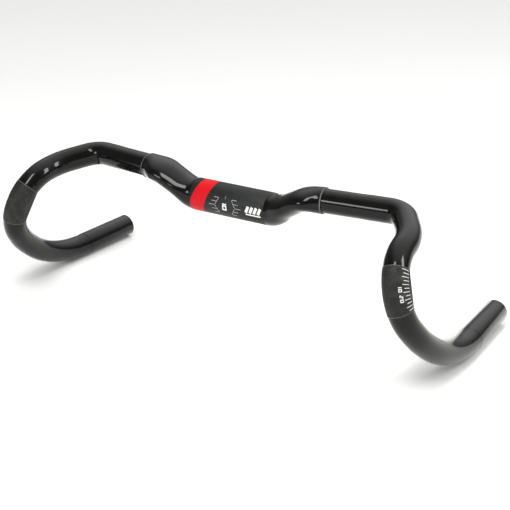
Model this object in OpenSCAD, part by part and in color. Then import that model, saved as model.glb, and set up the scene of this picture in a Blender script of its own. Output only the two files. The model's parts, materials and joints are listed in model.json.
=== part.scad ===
// Drop handlebar: a moulded centre section with two bonded drop tubes and their end sleeves.
// The origin is the centre of the clamp barrel. X runs along the barrel, Y to the rear, Z up.
// The left side is the rider's left, which is +X. Each half is drawn along its own centre line,
// $side being 1 on the left and -1 on the right.

/* [Clamp barrel] */
// Diameter that the stem clamps
clamp_d = 31.8; // [31.7:0.1:31.9]
// Half the length of the barrel's plain, coated stretch
coat_half = 42; // [38:1:42]
// Distance from the middle to the corner where the barrel turns into the shoulder
barrel_x = 48; // [48:1:50]
// Width of the coloured band
band_w = 15.6; // [8:0.2:16]
// Tilt of the coloured band
band_tilt = 20; // [0:1:24]

/* [Shoulders and tops] */
// Height of the tops above the barrel's axis
rise = 19; // [17:1:21]
// Distance from the middle to the upper corner of the shoulder
shoulder_x = 82; // [80:1:84]
// Half the front-to-back size of the shoulder at its widest
shoulder_depth = 20; // [17:0.5:20]
// Half the height of the shoulder at its thinnest
shoulder_height = 10.6; // [10.6:0.2:12]
// Distance along the centre line to the collar where the drop tube enters
collar_at = 104; // [102:1:112]
// Distance from the middle to the corner where the top turns forward
corner_x = 175; // [170:1:180]
// How far that corner lies behind the barrel's axis
back_sweep = 11; // [9:1:13]
// Diameter of the tops
top_d = 23; // [22.8:0.1:23.2]

/* [Hooks and drops] */
// How far the hook's corner lies in front of the barrel's axis
reach = 104; // [102:1:106]
// Height of the barrel's axis above the drops' axes
drop = 106; // [104:1:108]
// Distance from the middle to the end of each drop
end_x = 226; // [222:1:230]
// How far behind the barrel's axis the drops end
end_y = 108; // [100:1:116]
// Diameter over the lever coat and the end sleeve
drop_d = 23.8; // [23.8:0.1:24]
// Diameter of the hole in the drop's end
end_bore_d = 20; // [19.6:0.1:20.2]

/* [Hidden] */
$fn = 64;
$side = 1;

// Thicknesses
coat_t = 0.4;          // clamp coat
lever_coat_t = 0.15;
print_t = 0.06;        // prints and lines stand this much proud
bond_t = 0.2;          // adhesive
hair = 0.01;           // step between joined pieces of one tube
lap = 0.3;             // length by which they run into each other
wall = 2;              // moulded shoulder
barrel_wall = 2.6;

// Radii
clamp_r = clamp_d / 2;
barrel_r = clamp_r - coat_t;
barrel_bore_r = barrel_r - barrel_wall;
top_r = top_d / 2;
lever_r = drop_d / 2;
hook_r = lever_r - lever_coat_t;
tube_bore_r = 9.8;
spigot_r = top_r - 0.5;
socket_r = spigot_r + bond_t;
end_spigot_r = 10.8;
end_socket_r = end_spigot_r + bond_t;
end_bore_r = end_bore_d / 2;

// Corners of the +X half's centre line, each with the radius of its bend
corners = [
    [[0, 0, 0], 0],
    [[barrel_x, 0, 0], 21],
    [[shoulder_x, -2, rise], 27],
    [[corner_x, back_sweep, rise - 1], 22],
    [[corner_x + 25, -25, rise - 7], 62],
    [[corner_x + 34, -reach, -2], 42],
    [[corner_x + 51, -60, -63], 76],
    [[corner_x + 59, -13, -drop], 127],
    [[end_x, end_y, -drop], 0]
];
last = len(corners) - 1;

// Places along the centre line
socket_from = straight_start(2) + 0.2;
collar_gap = 0.4;
taper_from = 140;
taper_to = 150;
lever_from = 264;
lever_to = 300;
line_w = 0.3;
end_spigot_len = 18;
end_from = straight_start(last - 1) + 2;
end_gap = 0.2;
bar_end = straight_start(last - 1) + straight(last - 1);

// Half depth and half height of the collar's mouth
mouth_size = [13.8, 12.5];

// Half depth and half height of the centre section at places along the centre line
stations = [
    [coat_half, clamp_r, clamp_r],
    [65, shoulder_depth - 1, shoulder_height + 0.6],
    [87, shoulder_depth, shoulder_height],
    [collar_at, mouth_size[0], mouth_size[1]]
];

// ---- Centre line -------------------------------------------------------------------------

function unit(v) = v / norm(v);
function point(i) =
    let (p = corners[i][0])
    [$side * p[0], p[1], p[2]];
function radius(i) = corners[i][1];
function heading_out(i) = unit(point(i + 1) - point(i));
function turn(i) = acos(heading_out(i - 1) * heading_out(i));
function setback(i) = i == 0 || i == last ? 0 : radius(i) * tan(turn(i) / 2);
function straight(i) = norm(point(i + 1) - point(i)) - setback(i) - setback(i + 1);
function arc(i) = radius(i) * turn(i) * PI / 180;
function straight_start(i) = i == 0 ? 0 : arc_start(i) + arc(i);
function arc_start(i) = straight_start(i - 1) + straight(i - 1);
function to_degrees(length, r) = length / r * 180 / PI;

// Direction from a bend's path towards its centre, and the centre itself
function inward(i) =
    let (u = heading_out(i - 1), v = heading_out(i))
    unit(v - u * (u * v));
function bend_centre(i) =
    point(i) - heading_out(i - 1) * setback(i) + inward(i) * radius(i);

function heading(s, i = 0) =
    i == last - 1 || s <= arc_start(i + 1) ? heading_out(i)
    : s <= straight_start(i + 1)
        ? let (a = to_degrees(s - arc_start(i + 1), radius(i + 1)))
          heading_out(i) * cos(a) + inward(i + 1) * sin(a)
        : heading(s, i + 1);

function place(s, i = 0) =
    i == last - 1 || s <= arc_start(i + 1)
        ? point(i) + heading_out(i) * (setback(i) + s - straight_start(i))
    : s <= straight_start(i + 1)
        ? let (a = to_degrees(s - arc_start(i + 1), radius(i + 1)))
          bend_centre(i + 1)
            + radius(i + 1) * (heading_out(i) * sin(a) - inward(i + 1) * cos(a))
        : place(s, i + 1);

// Puts its children in the frame with these axes and this origin
module in_frame(x, y, z, origin) {
    multmatrix([
        [x[0], y[0], z[0], origin[0]],
        [x[1], y[1], z[1], origin[1]],
        [x[2], y[2], z[2], origin[2]],
        [0, 0, 0, 1]
    ]) children();
}

// A flat section carried along the centre line from s0 to s1. In a bend the section's X axis
// points away from the bend's centre.
module run(s0, s1) {
    for (i = [0 : last - 1]) {
        from = max(s0, straight_start(i));
        to = min(s1, i == last - 1 ? s1 : arc_start(i + 1));
        if (to > from + 0.001) {
            z = heading_out(i);
            x = unit(cross([0, 0, 1], z));
            in_frame(x, cross(z, x), z, place(from)) linear_extrude(to - from) children();
        }
    }
    for (i = [1 : last - 1]) {
        from = max(s0, arc_start(i));
        to = min(s1, straight_start(i));
        if (to > from + 0.001) {
            x = -inward(i);
            y = heading_out(i - 1);
            in_frame(x, y, cross(x, y), bend_centre(i))
                rotate([0, 0, to_degrees(from - arc_start(i), radius(i))])
                    rotate_extrude(angle = to_degrees(to - from, radius(i)))
                        translate([radius(i), 0]) children();
        }
    }
}

module ring(outer, inner) {
    difference() {
        circle(outer);
        circle(inner);
    }
}

// The part of a ring between two angles from its X axis
module ring_part(outer, inner, a0, a1) {
    far = 2 * outer;
    intersection() {
        ring(outer, inner);
        polygon([
            [0, 0],
            far * [cos(a0), sin(a0)],
            far * [cos((a0 + a1) / 2), sin((a0 + a1) / 2)],
            far * [cos(a1), sin(a1)]
        ]);
    }
}

// A solid rod along the centre line. Its straights are a hair slimmer than its bends and run a
// little way into them, so that the pieces join cleanly.
module rod(s0, s1, r) {
    for (i = [0 : last - 1]) {
        begin = straight_start(i);
        end = i == last - 1 ? s1 : arc_start(i + 1);
        from = s0 < begin ? begin - lap : s0;
        to = s1 > end ? end + lap : s1;
        if (min(s1, end) > max(s0, begin) + 0.001) {
            z = heading_out(i);
            x = unit(cross([0, 0, 1], z));
            in_frame(x, cross(z, x), z, place(max(s0, begin)) - z * (max(s0, begin) - from))
                cylinder(h = to - from, r = r - hair);
        }
    }
    for (i = [1 : last - 1])
        if (min(s1, straight_start(i)) > max(s0, arc_start(i)) + 0.001)
            run(max(s0, arc_start(i)), min(s1, straight_start(i))) circle(r);
}

// A cone along a straight stretch
module taper(s0, s1, r0, r1) {
    z = heading(s0);
    x = unit(cross([0, 0, 1], z));
    in_frame(x, cross(z, x), z, place(s0)) cylinder(h = s1 - s0, r1 = r0, r2 = r1);
}

// ---- Flattened shoulders -----------------------------------------------------------------

function ease(t) = t * t * (3 - 2 * t);
function mixed(a, b, t) = a + (b - a) * t;
function station(s, i = 0) =
    i == len(stations) - 2 || s <= stations[i + 1][0] ? i : station(s, i + 1);
function half_size(s, which) =
    let (
        i = station(s),
        a = stations[i],
        b = stations[i + 1],
        t = max(0, min(1, (s - a[0]) / (b[0] - a[0])))
    )
    mixed(a[which], b[which], ease(t));
function half_depth(s) = half_size(s, 1);
function half_height(s) = half_size(s, 2);

function rearward(s) = $side * unit(cross([0, 0, 1], heading(s)));
function upward(s) = $side * cross(heading(s), rearward(s));

// ---- Centre section ----------------------------------------------------------------------

// Places along one half, each with the half depth and half height of its section: along the
// outside from the mouth to the barrel, and along the inside from the barrel to the mouth
section_sides = 40;
outer_rings = 14;
inner_rings = 9;
flat_fit = 1 / cos(180 / section_sides);   // a round seat drawn with flats just touching it
function outer_sizes() = concat(
    [
        for (i = [outer_rings : -1 : 0])
            let (s = coat_half + (collar_at - coat_half) * i / outer_rings)
            [s, half_depth(s), half_height(s)]
    ],
    [[coat_half, barrel_r, barrel_r]]
);
function inner_sizes() = concat(
    [
        for (i = [0 : inner_rings])
            let (
                t = i / inner_rings,
                s = coat_half + (socket_from - coat_half) * t,
                outlet = ease(max(0, 2 * t - 1)),
                inlet = ease(min(1, 2 * t)),
                depth = mixed(barrel_bore_r, half_depth(s) - wall, inlet),
                height = mixed(barrel_bore_r, half_height(s) - wall, inlet)
            )
            [s, mixed(depth, tube_bore_r, outlet), mixed(height, tube_bore_r, outlet)]
    ],
    [
        [socket_from, socket_r * flat_fit, socket_r * flat_fit],
        [collar_at, socket_r * flat_fit, socket_r * flat_fit]
    ]
);

// The ring of points for one of those places
function section_ring(size) = [
    for (k = [0 : section_sides - 1])
        let (a = 360 * k / section_sides)
        place(size[0]) + size[1] * cos(a) * rearward(size[0])
            + size[2] * sin(a) * upward(size[0])
];
function backwards(list) = [for (i = [len(list) - 1 : -1 : 0]) list[i]];

// Rings from the -X mouth over the outside to the +X mouth and back through the inside
function section_rings() = concat(
    [for (size = outer_sizes()) section_ring(size, $side = -1)],
    [for (size = backwards(outer_sizes())) section_ring(size, $side = 1)],
    [for (size = backwards(inner_sizes())) section_ring(size, $side = 1)],
    [for (size = inner_sizes()) section_ring(size, $side = -1)]
);

module centre_section() {
    rings = section_rings();
    m = len(rings);
    color("#202123")
    polyhedron(
        points = [for (r = rings) each r],
        faces = [
            for (i = [0 : m - 1], k = [0 : section_sides - 1], half = [0, 1])
                let (
                    next = (k + 1) % section_sides,
                    after = (i + 1) % m,
                    a = i * section_sides + k,
                    b = i * section_sides + next,
                    c = after * section_sides + next,
                    d = after * section_sides + k
                )
                half == 0 ? [a, d, c] : [a, c, b]
        ]
    );
}

// ---- Coat and prints on the clamp barrel -------------------------------------------------

// Prints are drawn with flats, so that the coat's own round face is the clamp's seat
print_sides = 96;
function drawn_round(r) = [
    for (k = [0 : print_sides - 1])
        let (a = 360 * k / print_sides)
        r / cos(180 / print_sides) * [cos(a), sin(a)]
];
module print_ring(length) {
    rotate([0, 90, 0])
        linear_extrude(length, center = true)
            difference() {
                polygon(drawn_round(clamp_r + print_t));
                polygon(drawn_round(clamp_r));
            }
}

module clamp_grip_coat() {
    color("#2b2c2d")
    rotate([0, 90, 0])
        difference() {
            cylinder(h = 2 * coat_half, r = clamp_r, center = true);
            cylinder(h = 2 * coat_half + 2, r = barrel_r, center = true);
        }
}

band_x = -32;
module clamp_band() {
    color("#d81e2c")
    intersection() {
        translate([-coat_half + 15, 0, 0]) print_ring(30);
        translate([band_x, 0, 0])
            rotate([0, band_tilt, 0])
                cube([band_w, 4 * clamp_r, 4 * clamp_r], center = true);
    }
}

// A printed bar on the front of the barrel. It is centred x along the barrel and around it by
// the angle below the top, and it is turned by lean from the barrel's length.
module barrel_bar(x, around, lean, length, width) {
    intersection() {
        print_ring(2 * coat_half - 2);
        rotate([around, 0, 0])
            translate([x, 0, clamp_r])
                rotate([0, 0, lean]) cube([length, width, 3], center = true);
    }
}

function degrees_around(length) = length / clamp_r * 180 / PI;

// Two fans of ticks, each on a spine like an arrowhead that points away from the zero
scale_x = -0.6;
bar_w = 0.45;
fan_around = [64, 78, 92, 106, 120];
fan_reach = [7, 9.3, 11.6, 9.3, 7];
spine_gap = 0.5;
module clamp_scale() {
    color("#c9cacb") {
        for (side = [-1, 1]) {
            for (i = [0 : 4]) {
                length = i == 2 ? 6 : 5.2;
                barrel_bar(
                    scale_x + side * (fan_reach[i] + spine_gap + length / 2),
                    fan_around[i], 0, length, bar_w
                );
            }
            for (half = [-1, 1]) {
                along = fan_reach[2] - fan_reach[0];
                round = (fan_around[4] - fan_around[0]) / 2 / degrees_around(1);
                barrel_bar(
                    scale_x + side * (fan_reach[0] + fan_reach[2]) / 2,
                    fan_around[2] + half * (fan_around[4] - fan_around[0]) / 4,
                    side * half * atan2(round, along), norm([along, round]) - 0.8, bar_w
                );
            }
        }
        barrel_bar(scale_x, 60.5, 90, 2.6, bar_w);
    }
}

zero_x = -1.1;
zero_around = 97;
zero_w = 4.8;
zero_h = 5.4;
zero_stroke = 1.35;
module clamp_zero_mark() {
    color("#f2f2f0") {
        for (side = [-1, 1]) {
            barrel_bar(
                zero_x + side * (zero_w - zero_stroke) / 2,
                zero_around, 90, zero_h, zero_stroke
            );
            barrel_bar(
                zero_x,
                zero_around + side * degrees_around((zero_h - zero_stroke) / 2),
                0, zero_w - 2 * zero_stroke - 0.1, zero_stroke
            );
        }
        barrel_bar(zero_x, zero_around - degrees_around(zero_h / 2 + 1), 0, zero_w, 1);
    }
}

mark_from = 24.6;
mark_pitch = 4.5;
module maker_mark() {
    color("#f2f2f0") {
        for (i = [0 : 3]) barrel_bar(mark_from + mark_pitch * i, 86, 68, 6.6, 2.9);
        barrel_bar(mark_from + 1.5 * mark_pitch, 103.5, 0, 16.6, 1.4);
    }
}

// ---- Drop tubes --------------------------------------------------------------------------

module drop_tube() {
    color("#17181a")
    difference() {
        union() {
            rod(socket_from, collar_at + collar_gap + 1, spigot_r);
            rod(collar_at + collar_gap, taper_from + lap, top_r);
            taper(taper_from, taper_to + lap, top_r + hair, hook_r - 2 * hair);
            rod(taper_to, end_from, hook_r);
            rod(end_from - 1, end_from + end_spigot_len, end_spigot_r);
        }
        rod(socket_from - 1, end_from + end_spigot_len + 1, tube_bore_r);
    }
}

module bond_line() {
    color("#8d8f90")
    difference() {
        union() {
            run(socket_from, collar_at + collar_gap / 2) circle(socket_r);
            run(collar_at, collar_at + collar_gap) scale(mouth_size - [0.1, 0.1]) circle(1);
        }
        run(socket_from - 0.1, collar_at + collar_gap + 1) circle(spigot_r);
    }
}

module end_bond() {
    color("#8d8f90")
    difference() {
        union() {
            run(end_from, end_from + end_gap) circle(hook_r);
            run(end_from + end_gap / 2, end_from + end_spigot_len) circle(end_socket_r);
        }
        run(end_from - 1, end_from + end_spigot_len + 1) circle(end_spigot_r);
    }
}

module drop_end() {
    color("#191a1c")
    difference() {
        run(end_from + end_gap, bar_end) circle(lever_r);
        run(end_from, end_from + end_spigot_len) circle(end_socket_r);
        run(end_from + end_spigot_len - 1, bar_end + 1) circle(end_bore_r);
    }
}

// ---- Coat and prints on the hooks --------------------------------------------------------

module lever_grip_coat() {
    color("#2f3031") run(lever_from, lever_to) ring(lever_r, hook_r);
}

module lever_line(s) {
    color("#b9bbbb") run(s - line_w / 2, s + line_w / 2) ring(lever_r + print_t, lever_r);
}

// The scale runs down the hook's outboard side
function scale_angle(s) = 70 + 8 * (s - lever_from) / (lever_to - lever_from);

ticks = 12;
tick_w = 0.4;
module lever_scale() {
    color("#e8e8e6")
    for (i = [0 : ticks - 1]) {
        s = lever_from + 2 + i * (lever_to - lever_from - 4) / (ticks - 1);
        mid = scale_angle(s);
        reach_in = i % 2 == 0 ? 16 : 8;
        run(s - tick_w / 2, s + tick_w / 2)
            ring_part(
                lever_r + print_t, lever_r, $side * (mid - reach_in), $side * (mid + 24)
            );
    }
}

// The bars of a seven-bar figure that each digit lights: top, upper and lower right, bottom,
// lower and upper left, middle
digit_bars = [
    [1, 1, 1, 1, 1, 1, 0],
    [0, 1, 1, 0, 0, 0, 0],
    [1, 1, 0, 1, 1, 0, 1]
];
digit_h = 3;
digit_w = 2.2;
stroke = 0.6;

// A bar from across0 to across1 mm along the hook and between two heights around it
module figure_bar(s, middle, along0, along1, up0, up1) {
    run(s + along0, s + along1)
        ring_part(
            lever_r + print_t, lever_r,
            $side * (middle + to_degrees(up0, lever_r)),
            $side * (middle + to_degrees(up1, lever_r))
        );
}

module digit(value, s, middle) {
    bars = digit_bars[value];
    g = 0.08;
    h = digit_h / 2;
    if (bars[0]) figure_bar(s, middle, stroke + g, digit_w - stroke - g, h - stroke, h);
    if (bars[1]) figure_bar(s, middle, digit_w - stroke, digit_w, g, h);
    if (bars[2]) figure_bar(s, middle, digit_w - stroke, digit_w, -h, -g);
    if (bars[3]) figure_bar(s, middle, stroke + g, digit_w - stroke - g, -h, stroke - h);
    if (bars[4]) figure_bar(s, middle, 0, stroke, -h, -g);
    if (bars[5]) figure_bar(s, middle, 0, stroke, g, h);
    if (bars[6])
        figure_bar(s, middle, stroke + g, digit_w - stroke - g, -stroke / 2, stroke / 2);
}

module lever_figures() {
    color("#f2f2f0")
    for (i = [0, 1]) {
        s = lever_from + 14 + 7.4 * i;
        middle = scale_angle(s + 2) - 29;
        digit(1 + i, s, middle);
        digit(0, s + digit_w + 0.7, middle);
    }
}

// ---- The nodes ---------------------------------------------------------------------------

module left_drop($side = 1) { drop_tube(); }
module right_drop($side = -1) { drop_tube(); }
module left_bond_line($side = 1) { bond_line(); }
module right_bond_line($side = -1) { bond_line(); }
module left_drop_end($side = 1) { drop_end(); }
module right_drop_end($side = -1) { drop_end(); }
module left_end_bond($side = 1) { end_bond(); }
module right_end_bond($side = -1) { end_bond(); }
module left_lever_grip_coat($side = 1) { lever_grip_coat(); }
module right_lever_grip_coat($side = -1) { lever_grip_coat(); }
module left_lever_upper_line($side = 1) { lever_line(lever_from + line_w / 2); }
module right_lever_upper_line($side = -1) { lever_line(lever_from + line_w / 2); }
module left_lever_lower_line($side = 1) { lever_line(lever_to - line_w / 2); }
module right_lever_lower_line($side = -1) { lever_line(lever_to - line_w / 2); }
module left_lever_scale($side = 1) { lever_scale(); }
module right_lever_scale($side = -1) { lever_scale(); }
module left_lever_figures($side = 1) { lever_figures(); }
module right_lever_figures($side = -1) { lever_figures(); }

centre_section();
clamp_grip_coat();
clamp_band();
clamp_scale();
clamp_zero_mark();
maker_mark();
left_drop();
right_drop();
left_bond_line();
right_bond_line();
left_drop_end();
right_drop_end();
left_end_bond();
right_end_bond();
left_lever_grip_coat();
right_lever_grip_coat();
left_lever_upper_line();
right_lever_upper_line();
left_lever_lower_line();
right_lever_lower_line();
left_lever_scale();
right_lever_scale();
left_lever_figures();
right_lever_figures();
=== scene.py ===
import bpy
import json
from math import ceil, cos, degrees, pi, radians, sin, tan
from mathutils import Matrix, Vector


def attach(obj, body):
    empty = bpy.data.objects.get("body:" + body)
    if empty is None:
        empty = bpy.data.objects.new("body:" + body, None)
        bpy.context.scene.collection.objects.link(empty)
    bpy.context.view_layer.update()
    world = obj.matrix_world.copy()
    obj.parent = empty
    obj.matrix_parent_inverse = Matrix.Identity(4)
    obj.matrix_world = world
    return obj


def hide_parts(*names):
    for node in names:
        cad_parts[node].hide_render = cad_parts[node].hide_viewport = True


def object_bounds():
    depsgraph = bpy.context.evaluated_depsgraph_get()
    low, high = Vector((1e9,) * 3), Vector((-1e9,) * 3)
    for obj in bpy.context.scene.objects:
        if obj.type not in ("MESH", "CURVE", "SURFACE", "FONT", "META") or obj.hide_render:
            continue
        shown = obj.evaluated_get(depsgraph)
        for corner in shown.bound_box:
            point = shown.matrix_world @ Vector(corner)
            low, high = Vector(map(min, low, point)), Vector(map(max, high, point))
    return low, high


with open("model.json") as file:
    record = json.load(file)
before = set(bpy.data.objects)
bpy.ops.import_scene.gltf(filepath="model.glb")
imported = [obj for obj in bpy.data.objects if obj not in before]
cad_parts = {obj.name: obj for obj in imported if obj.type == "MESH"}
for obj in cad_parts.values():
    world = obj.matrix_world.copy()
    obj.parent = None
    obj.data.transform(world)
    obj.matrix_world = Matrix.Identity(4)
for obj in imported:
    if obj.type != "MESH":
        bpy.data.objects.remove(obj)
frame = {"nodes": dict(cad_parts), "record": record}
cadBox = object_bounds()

mm = 0.001
tiny = 1e-7  # metres; nearer than this, two places are the same
sharpEdge = radians(32)
record = frame["record"]
mounts = {mount["name"]: mount for mount in record["mounts"]}
seat = mounts["stem_clamp"]
clampRadius = seat["dims"]["r_mm"] * mm
clampHalf = seat["dims"]["length_mm"] * mm / 2
endRadius = mounts["left_end_outside"]["dims"]["r_mm"] * mm
endBore = mounts["left_end_bore"]["dims"]["r_mm"] * mm


def deselectAll():
    bpy.ops.object.select_all(action="DESELECT")


def newEmptySelection():
    bpy.ops.mesh.select_all(action="DESELECT")


def linear(hexColour):
    channels = [int(hexColour[i:i + 2], 16) / 255 for i in (1, 3, 5)]
    return [c / 12.92 if c <= 0.04045 else ((c + 0.055) / 1.055) ** 2.4 for c in channels] + [1.0]


def addNode(tree, kind, settings=None, inputs=None):
    # an input is a value, or a (node, output name) pair to link
    node = tree.nodes.new(kind)
    for key, value in (settings or {}).items():
        setattr(node, key, value)
    for key, value in (inputs or {}).items():
        if isinstance(value, tuple) and isinstance(value[0], bpy.types.Node):
            tree.links.new(value[0].outputs[value[1]], node.inputs[key])
        else:
            node.inputs[key].default_value = value
    return node


def finish(piece, material, slotName, *nodes):
    piece.data.materials.clear()
    piece.data.materials.append(material)
    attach(piece, "root")
    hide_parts(*nodes)
    return piece


barLine = {
    # corners of the left half's centre line in mm, each with the radius of its bend
    "corners": [
        ((0, 0, 0), 0), ((48, 0, 0), 21), ((82, -2, 19), 27), ((175, 11, 18), 22),
        ((200, -25, 12), 62), ((209, -104, -2), 42), ((226, -60, -63), 76),
        ((234, -13, -106), 127), ((226, 108, -106), 0),
    ],
    "degreesPerStep": 3.5,
}


def stretchesOf(side):
    points = [Vector((side * x, y, z)) * mm for (x, y, z), bend in barLine["corners"]]
    bends = [bend * mm for corner, bend in barLine["corners"]]
    headings = [(b - a).normalized() for a, b in zip(points, points[1:])]
    turns = [0] + [a.angle(b) for a, b in zip(headings, headings[1:])] + [0]
    setbacks = [bend * tan(turn / 2) for bend, turn in zip(bends, turns)]
    stretches = []
    s = 0
    for i, heading in enumerate(headings):
        length = (points[i + 1] - points[i]).length - setbacks[i] - setbacks[i + 1]
        stretches.append({"first": s, "last": s + length, "heading": heading,
                          "start": points[i] + heading * setbacks[i], "axis": None})
        s += length
        if i + 1 < len(headings):
            axis = heading.cross(headings[i + 1]).normalized()
            start = points[i + 1] - heading * setbacks[i + 1]
            radius = bends[i + 1]
            stretches.append({"first": s, "last": s + radius * turns[i + 1], "heading": heading,
                              "start": start, "axis": axis, "radius": radius,
                              "centre": start + axis.cross(heading) * radius})
            s += radius * turns[i + 1]
    return stretches


stretches = {side: stretchesOf(side) for side in (1, -1)}
barEnd = stretches[1][-1]["last"]


def placeOn(side, s):
    for stretch in stretches[side]:
        if s <= stretch["last"]:
            break
    ahead = s - stretch["first"]
    if stretch["axis"] is None:
        return stretch["start"] + stretch["heading"] * ahead, stretch["heading"]
    turned = Matrix.Rotation(ahead / stretch["radius"], 3, stretch["axis"])
    return (stretch["centre"] + turned @ (stretch["start"] - stretch["centre"]),
            turned @ stretch["heading"])


def startRing(name, side, s, radius, sides):
    point, heading = placeOn(side, s)
    deselectAll()
    bpy.ops.mesh.primitive_circle_add(
        vertices=sides, radius=radius, fill_type="NOTHING", location=point,
        rotation=heading.to_track_quat("Z", "Y").to_euler())
    bpy.ops.object.transform_apply(location=True, rotation=True, scale=True)
    piece = bpy.context.object
    piece.name = piece.data.name = name
    bpy.ops.object.mode_set(mode="EDIT")
    bpy.ops.mesh.select_all(action="SELECT")
    return piece


def runTo(side, s0, s1):
    # extrudes the selected ring along the straights and spins it round the bends
    way = 1 if s1 > s0 else -1
    for stretch in stretches[side][::way]:
        a = max(stretch["first"], min(s0, s1))
        b = min(stretch["last"], max(s0, s1))
        if b - a < tiny:
            continue
        if stretch["axis"] is None:
            step = stretch["heading"] * (b - a) * way
            bpy.ops.mesh.extrude_region_move(TRANSFORM_OT_translate={"value": step})
        else:
            angle = (b - a) / stretch["radius"]
            steps = max(1, ceil(degrees(angle) / barLine["degreesPerStep"]))
            bpy.ops.mesh.spin(steps=steps, angle=-angle * way, center=stretch["centre"],
                              axis=stretch["axis"])


def growTube(name, side, profile, sides):
    # profile: (place along the centre line, radius) in metres, walked in order and then closed
    piece = startRing(name, side, profile[0][0], profile[0][1], sides)
    for (s0, r0), (s1, r1) in zip(profile, profile[1:]):
        if abs(s1 - s0) < tiny:
            bpy.ops.mesh.extrude_region_move(TRANSFORM_OT_translate={"value": (0, 0, 0)})
        else:
            runTo(side, s0, s1)
        if abs(r1 - r0) > tiny:
            k = r1 / r0
            bpy.ops.transform.resize(value=(k, k, k), center_override=placeOn(side, s1)[0])
    closeShell()
    return piece


def closeShell():
    # joins the first ring to the last and turns the faces outwards
    newEmptySelection()
    bpy.ops.mesh.select_non_manifold(extend=False)
    bpy.ops.mesh.bridge_edge_loops()
    bpy.ops.mesh.select_all(action="SELECT")
    bpy.ops.mesh.remove_doubles(threshold=tiny)
    bpy.ops.mesh.normals_make_consistent(inside=False)
    bpy.ops.object.mode_set(mode="OBJECT")
    bpy.ops.object.shade_smooth_by_angle(angle=sharpEdge)


def startMaterial(name):
    material = bpy.data.materials.new(name)
    material.use_nodes = True
    tree = material.node_tree
    tree.nodes.clear()
    output = addNode(tree, "ShaderNodeOutputMaterial")
    coords = addNode(tree, "ShaderNodeTexCoord")
    return material, tree, output, (coords, "Object")


def grain(tree, place, sizeMm, detail=2.0, roughness=0.5):
    return addNode(tree, "ShaderNodeTexNoise", None,
                   {"Vector": place, "Scale": 1 / (sizeMm * mm), "Detail": detail,
                    "Roughness": roughness})


lacquer = {
    "carbon": "#060606",
    "carbonLight": "#0d0d0b",
    "patchMm": 9.0,
    "fibreMm": 1.6,
    "peelMm": 3.2,
    "peelDepthMm": 0.05,
    "wearMm": 14.0,
    "roughness": 0.22,
    "coatRoughness": 0.045,
    "coatIor": 1.29,
}


def lacqueredCarbon(name, tint=1.0):
    # moulded carbon under clear lacquer: nearly black, with a deep wet gloss, a faint
    # orange-peel ripple and darker and lighter patches where the fibres change direction
    material, tree, output, place = startMaterial(name)
    patches = grain(tree, place, lacquer["patchMm"], 3.0)
    fibres = grain(tree, place, lacquer["fibreMm"], 4.0, 0.6)
    blend = addNode(tree, "ShaderNodeMath", {"operation": "MULTIPLY"},
                    {0: (patches, "Fac"), 1: (fibres, "Fac")})
    ramp = addNode(tree, "ShaderNodeValToRGB", None, {"Fac": (blend, "Value")})
    ramp.color_ramp.elements[0].position = 0.12
    ramp.color_ramp.elements[1].position = 0.42
    ramp.color_ramp.elements[0].color = linear(lacquer["carbon"])
    lightest = linear(lacquer["carbonLight"])
    ramp.color_ramp.elements[1].color = [c * tint for c in lightest[:3]] + [1]
    peel = grain(tree, place, lacquer["peelMm"], 1.0)
    bump = addNode(tree, "ShaderNodeBump", None,
                   {"Strength": 0.05, "Distance": lacquer["peelDepthMm"] * mm,
                    "Height": (peel, "Fac")})
    wear = grain(tree, place, lacquer["wearMm"], 4.0)
    gloss = addNode(tree, "ShaderNodeMapRange", None,
                    {"Value": (wear, "Fac"), "To Min": lacquer["roughness"] - 0.05,
                     "To Max": lacquer["roughness"] + 0.08})
    shader = addNode(tree, "ShaderNodeBsdfPrincipled", None,
                     {"Base Color": (ramp, "Color"), "Roughness": (gloss, "Result"),
                      "IOR": 1.5, "Specular IOR Level": 0.05, "Coat Weight": 1.0,
                      "Coat Roughness": lacquer["coatRoughness"], "Coat IOR": lacquer["coatIor"],
                      "Normal": (bump, "Normal"), "Coat Normal": (bump, "Normal")})
    tree.links.new(shader.outputs["BSDF"], output.inputs["Surface"])
    return material


gripCoats = {
    # grey is the coat's own colour; the second, lighter colour is painted glint, flecks that
    # stand in for light caught by the grit
    "clampGripCoat": {"grey": "#111212", "paintedGlint": "#2b2c2c", "paintedGlintFrom": 0.62,
                      "gritMm": 0.35, "bumpMm": 0.03, "roughness": 0.5},
    "leverGripCoat": {"grey": "#10100f", "paintedGlint": "#6a6a66", "paintedGlintFrom": 0.68,
                      "gritMm": 0.5, "bumpMm": 0.08, "roughness": 0.58},
}


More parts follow.
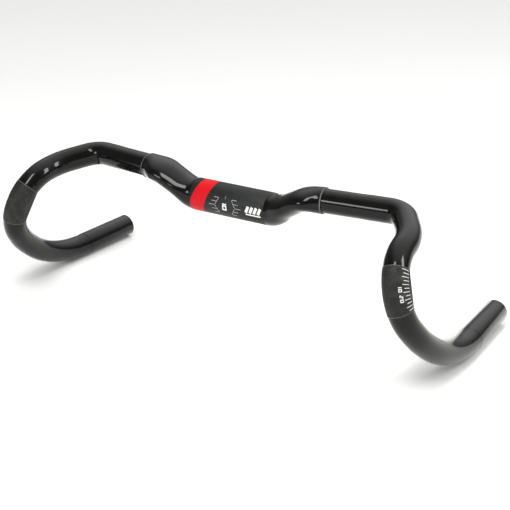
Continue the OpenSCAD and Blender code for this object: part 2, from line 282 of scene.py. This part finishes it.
def gripCoat(name):
    # sprayed anti-slip coat: dull, with fine raised grit; the lighter specks in its colour are
    # painted glints, the light that the grit would catch
    # the real grit is near 0.1 mm, drawn coarser so that it shows
    coat = gripCoats[name]
    material, tree, output, place = startMaterial(name)
    grit = addNode(tree, "ShaderNodeTexVoronoi", None,
                   {"Vector": place, "Scale": 1 / (coat["gritMm"] * mm), "Randomness": 1.0})
    fine = grain(tree, place, coat["gritMm"] * 0.8, 3.0, 0.7)
    cloud = grain(tree, place, 6.0, 3.0)
    mixed = addNode(tree, "ShaderNodeMath", {"operation": "MULTIPLY_ADD"},
                    {0: (cloud, "Fac"), 1: 0.25, 2: (fine, "Fac")})
    ramp = addNode(tree, "ShaderNodeValToRGB", None, {"Fac": (mixed, "Value")})
    ramp.color_ramp.elements[0].position = coat["paintedGlintFrom"]
    ramp.color_ramp.elements[1].position = coat["paintedGlintFrom"] + 0.2
    ramp.color_ramp.elements[0].color = linear(coat["grey"])
    # painted glint: the lighter fleck colour stands in for light on the grit, not the coat's own
    # colour
    ramp.color_ramp.elements[1].color = linear(coat["paintedGlint"])
    bump = addNode(tree, "ShaderNodeBump", {"invert": True},
                   {"Strength": 0.5, "Distance": coat["bumpMm"] * mm,
                    "Height": (grit, "Distance")})
    shader = addNode(tree, "ShaderNodeBsdfPrincipled", None,
                     {"Base Color": (ramp, "Color"), "Roughness": coat["roughness"],
                      "IOR": 1.45, "Specular IOR Level": 0.4, "Normal": (bump, "Normal")})
    tree.links.new(shader.outputs["BSDF"], output.inputs["Surface"])
    return material


def printedInk(name, colour, worn, roughness):
    # pad-printed ink, slightly uneven where it is thin
    material, tree, output, place = startMaterial(name)
    patchy = grain(tree, place, 0.9, 4.0, 0.65)
    ramp = addNode(tree, "ShaderNodeValToRGB", None, {"Fac": (patchy, "Fac")})
    ramp.color_ramp.elements[0].position = 0.3
    ramp.color_ramp.elements[1].position = 0.55
    ramp.color_ramp.elements[0].color = linear(worn)
    ramp.color_ramp.elements[1].color = linear(colour)
    bump = addNode(tree, "ShaderNodeBump", None,
                   {"Strength": 0.2, "Distance": 0.02 * mm, "Height": (patchy, "Fac")})
    shader = addNode(tree, "ShaderNodeBsdfPrincipled", None,
                     {"Base Color": (ramp, "Color"), "Roughness": roughness, "IOR": 1.45,
                      "Specular IOR Level": 0.2, "Normal": (bump, "Normal")})
    tree.links.new(shader.outputs["BSDF"], output.inputs["Surface"])
    return material


centreCarbon = lacqueredCarbon("lacqueredCarbonCentre")
dropCarbon = lacqueredCarbon("lacqueredCarbonDrops", 1.1)
sleeveCarbon = lacqueredCarbon("lacqueredCarbonSleeves", 1.2)
clampGrit = gripCoat("clampGripCoat")
leverGrit = gripCoat("leverGripCoat")
bandInk = printedInk("redBandInk", "#cf0b1a", "#bd0915", 0.5)
whiteInk = printedInk("whitePadPrint", "#f4f4f2", "#dcdcd8", 0.5)
greyInk = printedInk("thinGreyPadPrint", "#b9bab8", "#8b8c8a", 0.5)
faintInk = printedInk("faintGreyPadPrint", "#70716f", "#454645", 0.5)
glue = printedInk("curedAdhesive", "#808180", "#626361", 0.45)
darkGlue = printedInk("darkAdhesive", "#161616", "#101010", 0.45)
print("materials ready")


centrePiece = {
    "sides": 96,
    "barrelMm": 15.5,
    "boreMm": 12.9,
    # place along the half, half depth, half height
    "shoulder": [(42, 15.9, 15.9), (65, 19, 11.2), (87, 20, 10.6), (104, 13.8, 12.5)],
    "shoulderRings": 30,
    "wallMm": 2,
    "socketFrom": 94.23,
    "socketMm": 11.2,
    "tubeBoreMm": 9.8,
    "hollowRings": 12,
    "rimMm": 0.25,
}


def ease(t):
    t = max(0, min(1, t))
    return t * t * (3 - 2 * t)


def shoulderSize(s):
    table = centrePiece["shoulder"]
    for a, b in zip(table, table[1:]):
        if s <= b[0]:
            break
    t = ease((s - a[0]) / (b[0] - a[0]))
    return a[1] + (b[1] - a[1]) * t, a[2] + (b[2] - a[2]) * t


def outerHalf():
    piece = centrePiece
    mouth = piece["shoulder"][-1]
    start = piece["shoulder"][0][0]
    rings = [(start, piece["barrelMm"], piece["barrelMm"])]
    for i in range(piece["shoulderRings"]):
        s = start + (mouth[0] - piece["rimMm"] - start) * i / (piece["shoulderRings"] - 1)
        rings.append((s, *shoulderSize(s)))
    rings.append((mouth[0], mouth[1] - piece["rimMm"], mouth[2] - piece["rimMm"]))
    return rings


def innerHalf():
    piece = centrePiece
    start = piece["shoulder"][0][0]
    rings = []
    for i in range(piece["hollowRings"] + 1):
        t = i / piece["hollowRings"]
        s = start + (piece["socketFrom"] - start) * t
        size = []
        for outside in shoulderSize(s):
            inside = piece["boreMm"] + (outside - piece["wallMm"] - piece["boreMm"]) * ease(2 * t)
            size.append(inside + (piece["tubeBoreMm"] - inside) * ease(2 * t - 1))
        rings.append((s, *size))
    socket = piece["socketMm"]
    return rings + [(s, socket, socket) for s in (piece["socketFrom"], piece["shoulder"][-1][0])]


def sectionFrame(side, s):
    point, heading = placeOn(side, s * mm)
    rearward = side * Vector((0, 0, 1)).cross(heading).normalized()
    upward = side * heading.cross(rearward)
    return point, Matrix((rearward, upward, side * heading)).transposed()


def growSections(name, sized, sides):
    # sized: side, place along the centre line, half depth and half height of each section
    side, s, depth, height = sized[0]
    point, axes = sectionFrame(side, s)
    deselectAll()
    bpy.ops.mesh.primitive_circle_add(
        vertices=sides, radius=depth * mm, fill_type="NOTHING",
        location=point, rotation=axes.to_euler())
    bpy.ops.object.transform_apply(location=True, rotation=True, scale=True)
    piece = bpy.context.object
    piece.name = piece.data.name = name
    bpy.ops.object.mode_set(mode="EDIT")
    bpy.ops.mesh.select_all(action="SELECT")
    resizeSection(point, axes, 1, height / depth)
    for side, s, newDepth, newHeight in sized[1:]:
        newPoint, newAxes = sectionFrame(side, s)
        axis, angle = (newAxes @ axes.transposed()).to_quaternion().to_axis_angle()
        if abs(angle) < 1e-5:
            bpy.ops.mesh.extrude_region_move(TRANSFORM_OT_translate={"value": newPoint - point})
        else:
            bpy.ops.mesh.spin(steps=1, angle=-angle, center=point, axis=axis)
            bpy.ops.transform.translate(value=newPoint - point)
        resizeSection(newPoint, newAxes, newDepth / depth, newHeight / height)
        point, axes, depth, height = newPoint, newAxes, newDepth, newHeight
    closeShell()
    return piece


def resizeSection(point, axes, depthBy, heightBy):
    bpy.ops.transform.resize(
        value=(depthBy, heightBy, 1), orient_type="GLOBAL", orient_matrix_type="GLOBAL",
        orient_matrix=[axes.col[i] for i in range(3)], center_override=point)


def growCentre(name):
    sized = [(-1, *ring) for ring in outerHalf()[::-1]] + [(1, *ring) for ring in outerHalf()]
    sized += [(1, *ring) for ring in innerHalf()[::-1]] + [(-1, *ring) for ring in innerHalf()]
    return growSections(name, sized, centrePiece["sides"])


centreSection = finish(growCentre("centreSection"), centreCarbon, "centre_carbon",
                       "centre_section")
print("centre section done:", len(centreSection.data.vertices), "vertices")


dropPiece = {
    "sides": 64,
    "spigotMm": 11.0,
    "spigotGapMm": 0.07,
    "collarAt": 104.4,
    "topMm": 11.5,
    "cone": (140, 150),
    "hookMm": 11.75,
    "endFrom": 446.349,
    "endSpigotMm": 10.8,
    "endSpigotLength": 18,
    "boreMm": 9.8,
    "edgeMm": 0.12,
}


def inMetres(profile):
    return [(s * mm, r * mm) for s, r in profile]


def growDrop(name, side):
    p = dropPiece
    edge = p["edgeMm"]
    tip = p["endFrom"] + p["endSpigotLength"]
    start = centrePiece["socketFrom"] + p["spigotGapMm"]
    return growTube(name, side, inMetres([
        (start, p["spigotMm"]), (p["collarAt"], p["spigotMm"]),
        (p["collarAt"], p["topMm"] - edge), (p["collarAt"] + edge, p["topMm"]),
        (p["cone"][0], p["topMm"]), (p["cone"][1], p["hookMm"]),
        (p["endFrom"] - edge, p["hookMm"]), (p["endFrom"], p["hookMm"] - edge),
        (p["endFrom"], p["endSpigotMm"]), (tip, p["endSpigotMm"]),
        (tip, p["boreMm"]), (start, p["boreMm"]),
    ]), p["sides"])


sleevePiece = {"sides": 72, "gapMm": 0.2, "socketMm": 11.0, "roundMm": 0.35,
               "frontEdgeMm": 0.12, "boreEdgeMm": 0.2}


def growSleeve(name, side):
    p = sleevePiece
    front = dropPiece["endFrom"] + p["gapMm"]
    floor = dropPiece["endFrom"] + dropPiece["endSpigotLength"]
    outside = endRadius / mm
    bore = endBore / mm
    end = barEnd / mm
    corner = p["roundMm"]
    rounded = [(end - corner + corner * sin(a), outside - corner + corner * cos(a))
               for a in (0, pi / 6, pi / 3, pi / 2)]
    return growTube(name, side, inMetres([
        (front, p["socketMm"]), (front, outside - p["frontEdgeMm"]),
        (front + p["frontEdgeMm"], outside), *rounded, (end, bore + p["boreEdgeMm"]),
        (end - p["boreEdgeMm"], bore), (floor, bore), (floor, p["socketMm"]),
    ]), p["sides"])


leverPiece = {"sides": 64, "from": 264, "to": 300, "insideMm": 11.7, "outsideMm": 11.9,
              "edgeMm": 0.25, "edgeDropMm": 0.1, "endGapMm": 0.02, "lineMm": 0.3,
              "proudMm": 0.05}


def growLeverCoat(name, side):
    p = leverPiece
    a, b = p["from"] + p["endGapMm"], p["to"] - p["endGapMm"]
    edge = p["outsideMm"] - p["edgeDropMm"]
    return growTube(name, side, inMetres([
        (a, p["insideMm"]), (a, edge), (a + p["edgeMm"], p["outsideMm"]),
        (b - p["edgeMm"], p["outsideMm"]), (b, edge), (b, p["insideMm"]),
    ]), p["sides"])


def growLeverLine(name, side, at):
    p = leverPiece
    half = p["lineMm"] / 2
    low = p["outsideMm"] - p["edgeDropMm"]
    high = p["outsideMm"] + p["proudMm"]
    return growTube(name, side, inMetres([
        (at - half, low), (at - half, high), (at + half, high), (at + half, low),
    ]), p["sides"])


bondPiece = {"sides": 72, "from": 104, "to": 104.4, "insideMm": 11.05, "depthMm": 13.7,
             "heightMm": 12.4}


def growBond(name, side):
    p = bondPiece
    inside = (p["insideMm"], p["insideMm"])
    outside = (p["depthMm"], p["heightMm"])
    return growSections(name, [
        (side, p["from"], *inside), (side, p["from"], *outside),
        (side, p["to"], *outside), (side, p["to"], *inside),
    ], p["sides"])


halfLine = leverPiece["lineMm"] / 2
lineAt = {"upper": leverPiece["from"] + halfLine, "lower": leverPiece["to"] - halfLine}
for word, side in (("left", 1), ("right", -1)):
    finish(growDrop(word + "DropTube", side), dropCarbon, "drop_carbon", word + "_drop")
    finish(growSleeve(word + "EndSleeve", side), sleeveCarbon, "end_carbon", word + "_drop_end")
    finish(growLeverCoat(word + "LeverCoat", side), leverGrit, "lever_coat",
           word + "_lever_grip_coat")
    finish(growBond(word + "CollarBond", side), glue, "adhesive", word + "_bond_line")
    for line, at in lineAt.items():
        finish(growLeverLine(word + line.capitalize() + "Line", side, at), faintInk, "print_grey",
               word + "_lever_" + line + "_line")
print("drops, sleeves, lever coats and bonds done")


coatPiece = {"sides": 96, "insideMm": 15.46, "edgeMm": 0.2}
bandPiece = {"sides": 128, "centreMm": -32, "widthMm": 15.6, "tilt": 20, "proudMm": 0.05,
             "ringMm": (-41.95, -17), "edgeMm": 0.01, "blockMm": 60}


def growBarrelRing(name, x0, x1, inside, outside, edge, sides):
    deselectAll()
    bpy.ops.mesh.primitive_circle_add(
        vertices=sides, radius=inside, fill_type="NOTHING", location=(x0, 0, 0),
        rotation=(0, pi / 2, 0))
    bpy.ops.object.transform_apply(location=True, rotation=True, scale=True)
    piece = bpy.context.object
    piece.name = piece.data.name = name
    bpy.ops.object.mode_set(mode="EDIT")
    bpy.ops.mesh.select_all(action="SELECT")
    profile = [(x0, inside), (x0, outside - edge / 2), (x0 + edge, outside), (x1 - edge, outside),
               (x1, outside - edge / 2), (x1, inside)]
    for (a, r0), (b, r1) in zip(profile, profile[1:]):
        bpy.ops.mesh.extrude_region_move(TRANSFORM_OT_translate={"value": (b - a, 0, 0)})
        bpy.ops.transform.resize(value=(1, r1 / r0, r1 / r0), center_override=(b, 0, 0))
    closeShell()
    return piece


clampCoat = growBarrelRing("clampCoat", -clampHalf, clampHalf, coatPiece["insideMm"] * mm,
                           clampRadius, coatPiece["edgeMm"] * mm, coatPiece["sides"])
finish(clampCoat, clampGrit, "clamp_coat", "clamp_grip_coat")


def cutBand():
    # a ring trimmed by a leaning block
    p = bandPiece
    x0, x1 = [x * mm for x in p["ringMm"]]
    proud = p["proudMm"] * mm
    band = growBarrelRing("clampBand", x0, x1, clampRadius - proud, clampRadius + proud,
                          p["edgeMm"] * mm, p["sides"])
    bpy.ops.mesh.primitive_cube_add(size=1, location=(p["centreMm"] * mm, 0, 0),
                                    rotation=(0, radians(p["tilt"]), 0))
    block = bpy.context.object
    block.scale = [size * mm for size in (p["widthMm"], p["blockMm"], p["blockMm"])]
    trim = band.modifiers.new("trim", "BOOLEAN")
    trim.operation = "INTERSECT"
    trim.object = block
    deselectAll()
    band.select_set(True)
    bpy.context.view_layer.objects.active = band
    bpy.ops.object.modifier_apply(modifier=trim.name)
    bpy.data.objects.remove(block)
    return band


finish(cutBand(), bandInk, "band_red", "clamp_band")
print("clamp coat and band done")


keptPrints = {
    "clamp_scale": greyInk, "clamp_zero_mark": whiteInk, "maker_mark": whiteInk,
    "left_end_bond": darkGlue, "right_end_bond": darkGlue,
    "left_lever_scale": whiteInk, "right_lever_scale": whiteInk,
    "left_lever_figures": whiteInk, "right_lever_figures": whiteInk,
}
for node, ink in keptPrints.items():
    kept = frame["nodes"][node]
    kept.data.materials.clear()
    kept.data.materials.append(ink)
print("prints dressed")


floorHeight = cadBox[0].z
studio = {
    "floor": "#f4f4f2",
    "floorLight": "#f7f7f6",
    "floorSize": 14,
    "floorBack": 2,
    # the room is brightest above and behind the bar
    "worldDim": 0.22, "worldBright": 1.65, "brightSide": (0, 0.5, 0.866),
    # each softbox: azimuth (0 in front, 90 on +X), elevation, distance, width and height in
    # metres, and how bright its face is
    "boxes": {
        "frontBox": (-16, 18, 1.8, 0.55, 0.36, 14),
        "shoulderStrip": (14, 57, 1.7, 0.42, 0.85, 14),
        "rightStrip": (104, 32, 1.6, 0.26, 1.0, 15),
    },
}


def floorPaint():
    material, tree, output, place = startMaterial("studioFloor")
    shade = grain(tree, place, 400, 2.0)
    ramp = addNode(tree, "ShaderNodeValToRGB", None, {"Fac": (shade, "Fac")})
    ramp.color_ramp.elements[0].color = linear(studio["floor"])
    ramp.color_ramp.elements[1].color = linear(studio["floorLight"])
    shader = addNode(tree, "ShaderNodeBsdfPrincipled", None,
                     {"Base Color": (ramp, "Color"), "Roughness": 0.9,
                      "Specular IOR Level": 0.1})
    tree.links.new(shader.outputs["BSDF"], output.inputs["Surface"])
    return material


deselectAll()
bpy.ops.mesh.primitive_plane_add(size=studio["floorSize"],
                                 location=(0, studio["floorBack"], floorHeight))
studioFloor = bpy.context.object
studioFloor.name = "studioFloor"
studioFloor.data.materials.append(floorPaint())

for name, (azimuth, elevation, distance, width, height, bright) in studio["boxes"].items():
    az, el = radians(azimuth), radians(elevation)
    away = Vector((sin(az) * cos(el), -cos(az) * cos(el), sin(el)))
    lamp = bpy.data.lights.new(name, "AREA")
    lamp.shape = "RECTANGLE"
    lamp.size = width
    lamp.size_y = height
    lamp.energy = bright * pi * width * height
    holder = bpy.data.objects.new(name, lamp)
    bpy.context.scene.collection.objects.link(holder)
    holder.location = away * distance
    holder.rotation_mode = "QUATERNION"
    holder.rotation_quaternion = away.to_track_quat("Z", "Y")

world = bpy.data.worlds.new("studioWorld")
bpy.context.scene.world = world
world.use_nodes = True
worldTree = world.node_tree
direction = addNode(worldTree, "ShaderNodeTexCoord")
towards = addNode(worldTree, "ShaderNodeVectorMath", {"operation": "DOT_PRODUCT"},
                  {0: (direction, "Generated"), 1: studio["brightSide"]})
strength = addNode(worldTree, "ShaderNodeMapRange", {"interpolation_type": "SMOOTHSTEP"},
                   {"Value": (towards, "Value"), "From Min": 0.5, "From Max": 1.0,
                    "To Min": studio["worldDim"], "To Max": studio["worldBright"]})
backdrop = worldTree.nodes["Background"]
backdrop.inputs["Color"].default_value = (1, 1, 1, 1)
worldTree.links.new(strength.outputs["Result"], backdrop.inputs["Strength"])

cameraSetup = {
    "azimuth": 33.888, "elevation": 22.91, "roll": -1.46,
    "distance": 1.26703, "target": (0.022, 0, -0.0512), "lens": 93.0,
}


def placeCamera():
    c = cameraSetup
    az, el, roll = radians(c["azimuth"]), radians(c["elevation"]), radians(c["roll"])
    back = Vector((sin(az) * cos(el), -cos(az) * cos(el), sin(el)))
    right = Vector((cos(az), sin(az), 0))
    up = back.cross(right)
    rolledRight = right * cos(roll) + up * sin(roll)
    rolledUp = up * cos(roll) - right * sin(roll)
    eye = bpy.data.cameras.new("studioCamera")
    eye.lens = c["lens"]
    eye.sensor_width = 36
    eye.dof.use_dof = False
    holder = bpy.data.objects.new("studioCamera", eye)
    bpy.context.scene.collection.objects.link(holder)
    holder.matrix_world = Matrix.Translation(Vector(c["target"]) + back * c["distance"]) @ Matrix(
        (rolledRight, rolledUp, back)).transposed().to_4x4()
    bpy.context.scene.camera = holder


placeCamera()
bpy.context.scene.view_settings.view_transform = "Standard"  # keeps the red full
print("studio ready")
